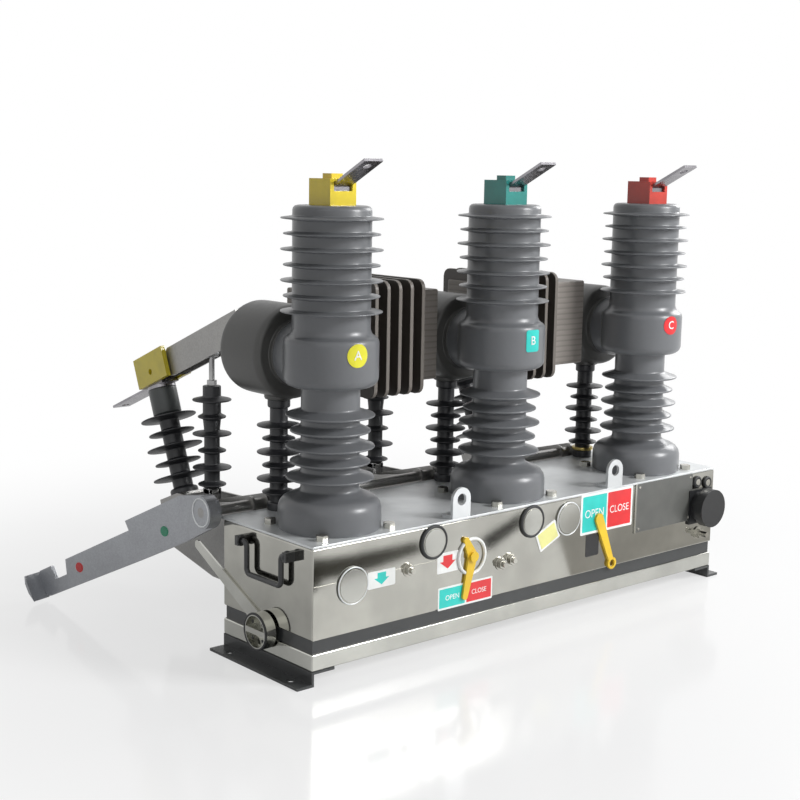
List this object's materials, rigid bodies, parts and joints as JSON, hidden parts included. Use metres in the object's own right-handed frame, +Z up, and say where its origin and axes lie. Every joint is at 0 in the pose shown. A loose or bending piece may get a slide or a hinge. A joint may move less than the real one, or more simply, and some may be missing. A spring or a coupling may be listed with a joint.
{
  "type": "recloser",
  "caption": "Outdoor vacuum recloser: sheathed resin poles on a steel case, current transformers, and rear knife isolators worked by one lever.",
  "frame": {"origin": "centre of the four foot-bolt holes, on the mounting surface under the feet", "axes": "+X along the case from the lever end to the plug end, +Y from the front face towards the isolators, +Z up"},
  "size_m": [1.0452, 0.7043, 0.724],
  "materials": {
    "stainless": "polished stainless sheet",
    "dark_frame": "dark painted steel",
    "pole_resin": "satin grey cast resin",
    "arm_resin": "dark grey cast resin",
    "black_resin": "near-black silicone and resin",
    "fin_resin": "near-black brown cast resin",
    "yellow_cover": "glossy yellow insulating cover",
    "green_cover": "glossy green insulating cover",
    "red_cover": "glossy red insulating cover",
    "tinned_copper": "tinned copper bar",
    "galvanised": "galvanised grey steel",
    "black_metal": "black coated steel",
    "yellow_lever": "yellow painted steel",
    "ceramic": "glazed ceramic",
    "steel": "bare steel",
    "zinc_bolt": "zinc-plated steel"
  },
  "bodies": {
    "chassis": {"base_frame": "dark_frame", "base_tray": "stainless", "blanking_covers": "stainless", "case_shell": "stainless", "connector_cap": "black_metal", "current_transformer_a": "arm_resin", "current_transformer_b": "arm_resin", "current_transformer_c": "arm_resin", "earthing_bolts": "zinc_bolt", "fixed_contact_a": "tinned_copper", "fixed_contact_b": "tinned_copper", "fixed_contact_c": "tinned_copper", "foot_left": "dark_frame", "foot_right": "dark_frame", "handle_brackets": "stainless", "hinge_cover_a": "yellow_cover", "hinge_cover_b": "green_cover", "hinge_cover_c": "red_cover", "isolator_bracket_a": "galvanised", "isolator_bracket_b": "galvanised", "isolator_bracket_c": "galvanised", "lifting_lugs": "stainless", "pole_bolts": "galvanised", "pole_housing_a": "pole_resin", "pole_housing_b": "pole_resin", "pole_housing_c": "pole_resin", "post_insulator_a": "black_resin", "post_insulator_b": "black_resin", "post_insulator_c": "black_resin", "rear_insulator_a": "black_resin", "rear_insulator_b": "black_resin", "rear_insulator_c": "black_resin", "rear_terminal_a": "tinned_copper", "rear_terminal_b": "tinned_copper", "rear_terminal_c": "tinned_copper", "terminal_bar_a": "tinned_copper", "terminal_bar_b": "tinned_copper", "terminal_bar_c": "tinned_copper", "terminal_cover_a": "yellow_cover", "terminal_cover_b": "green_cover", "terminal_cover_c": "red_cover", "top_plate": "stainless", "vacuum_interrupters": "ceramic", "voltage_transformer_ab": "fin_resin", "voltage_transformer_bc": "fin_resin"},
    "isolator_gear": {"isolator_shaft": "galvanised", "operating_lever": "galvanised"},
    "blade_a": {"isolator_blade_a": "galvanised"},
    "rod_a": {"pull_rod_a": "black_resin"},
    "blade_b": {"isolator_blade_b": "galvanised"},
    "rod_b": {"pull_rod_b": "black_resin"},
    "blade_c": {"isolator_blade_c": "galvanised"},
    "rod_c": {"pull_rod_c": "black_resin"},
    "handle": {"carrying_handle": "black_metal"},
    "latch": {"interlock_knob": "stainless"},
    "charger": {"charging_lever": "yellow_lever"},
    "trip_handle": {"operating_handle": "yellow_lever"},
    "breaker_drive": {"breaker_shaft": "steel"},
    "drive_rods": {"drive_rods": "arm_resin"}
  },
  "joints": [
    {"name": "isolator_shaft_turn", "type": "hinge", "parent": "chassis", "child": "isolator_gear", "pos_m": [0, 0.13, 0.2055], "axis": [1, 0, 0], "range_deg": [0, 42]},
    {"name": "blade_swing_a", "type": "hinge", "parent": "chassis", "child": "blade_a", "pos_m": [-0.3517, 0.427, 0.372], "axis": [1, 0, 0], "range_deg": [-46, 0]},
    {"name": "rod_swing_a", "type": "hinge", "parent": "blade_a", "child": "rod_a", "pos_m": [-0.3517, 0.279, 0.421], "axis": [1, 0, 0], "range_deg": [0, 26]},
    {"name": "blade_swing_b", "type": "hinge", "parent": "chassis", "child": "blade_b", "pos_m": [-0.0117, 0.427, 0.372], "axis": [1, 0, 0], "range_deg": [-46, 0]},
    {"name": "rod_swing_b", "type": "hinge", "parent": "blade_b", "child": "rod_b", "pos_m": [-0.0117, 0.279, 0.421], "axis": [1, 0, 0], "range_deg": [0, 26]},
    {"name": "blade_swing_c", "type": "hinge", "parent": "chassis", "child": "blade_c", "pos_m": [0.3283, 0.427, 0.372], "axis": [1, 0, 0], "range_deg": [-46, 0]},
    {"name": "rod_swing_c", "type": "hinge", "parent": "blade_c", "child": "rod_c", "pos_m": [0.3283, 0.279, 0.421], "axis": [1, 0, 0], "range_deg": [0, 26]},
    {"name": "handle_drop", "type": "hinge", "parent": "chassis", "child": "handle", "pos_m": [-0.454, -0.006, 0.1785], "axis": [0, 1, 0], "range_deg": [0, 100]},
    {"name": "latch_turn", "type": "hinge", "parent": "chassis", "child": "latch", "pos_m": [-0.448, -0.002, 0.057], "axis": [1, 0, 0], "range_deg": [-25, 0]},
    {"name": "charging_lever_turn", "type": "hinge", "parent": "chassis", "child": "charger", "pos_m": [-0.145, -0.11, 0.138], "axis": [0, 1, 0], "range_deg": [0, 45]},
    {"name": "operating_handle_turn", "type": "hinge", "parent": "chassis", "child": "trip_handle", "pos_m": [0.14, -0.11, 0.153], "axis": [0, 1, 0], "range_deg": [0, 47]},
    {"name": "drive_rod_slide", "type": "slide", "parent": "chassis", "child": "drive_rods", "axis": [0, 0, 1], "range_m": [-0.0098, 0]},
    {"name": "breaker_shaft_turn", "type": "hinge", "parent": "chassis", "child": "breaker_drive", "pos_m": [0, 0.04, 0.12], "axis": [1, 0, 0], "range_deg": [0, 8.8]}
  ],
  "couplings": [
    {"joint": "blade_swing_a", "follows": "isolator_shaft_turn", "ratio": -1.0753},
    {"joint": "rod_swing_a", "follows": "isolator_shaft_turn", "ratio": 0.59247},
    {"joint": "blade_swing_b", "follows": "isolator_shaft_turn", "ratio": -1.0753},
    {"joint": "rod_swing_b", "follows": "isolator_shaft_turn", "ratio": 0.59247},
    {"joint": "blade_swing_c", "follows": "isolator_shaft_turn", "ratio": -1.0753},
    {"joint": "rod_swing_c", "follows": "isolator_shaft_turn", "ratio": 0.59247},
    {"joint": "breaker_shaft_turn", "follows": "drive_rod_slide", "rad_per_m": -15.291}
  ]
}
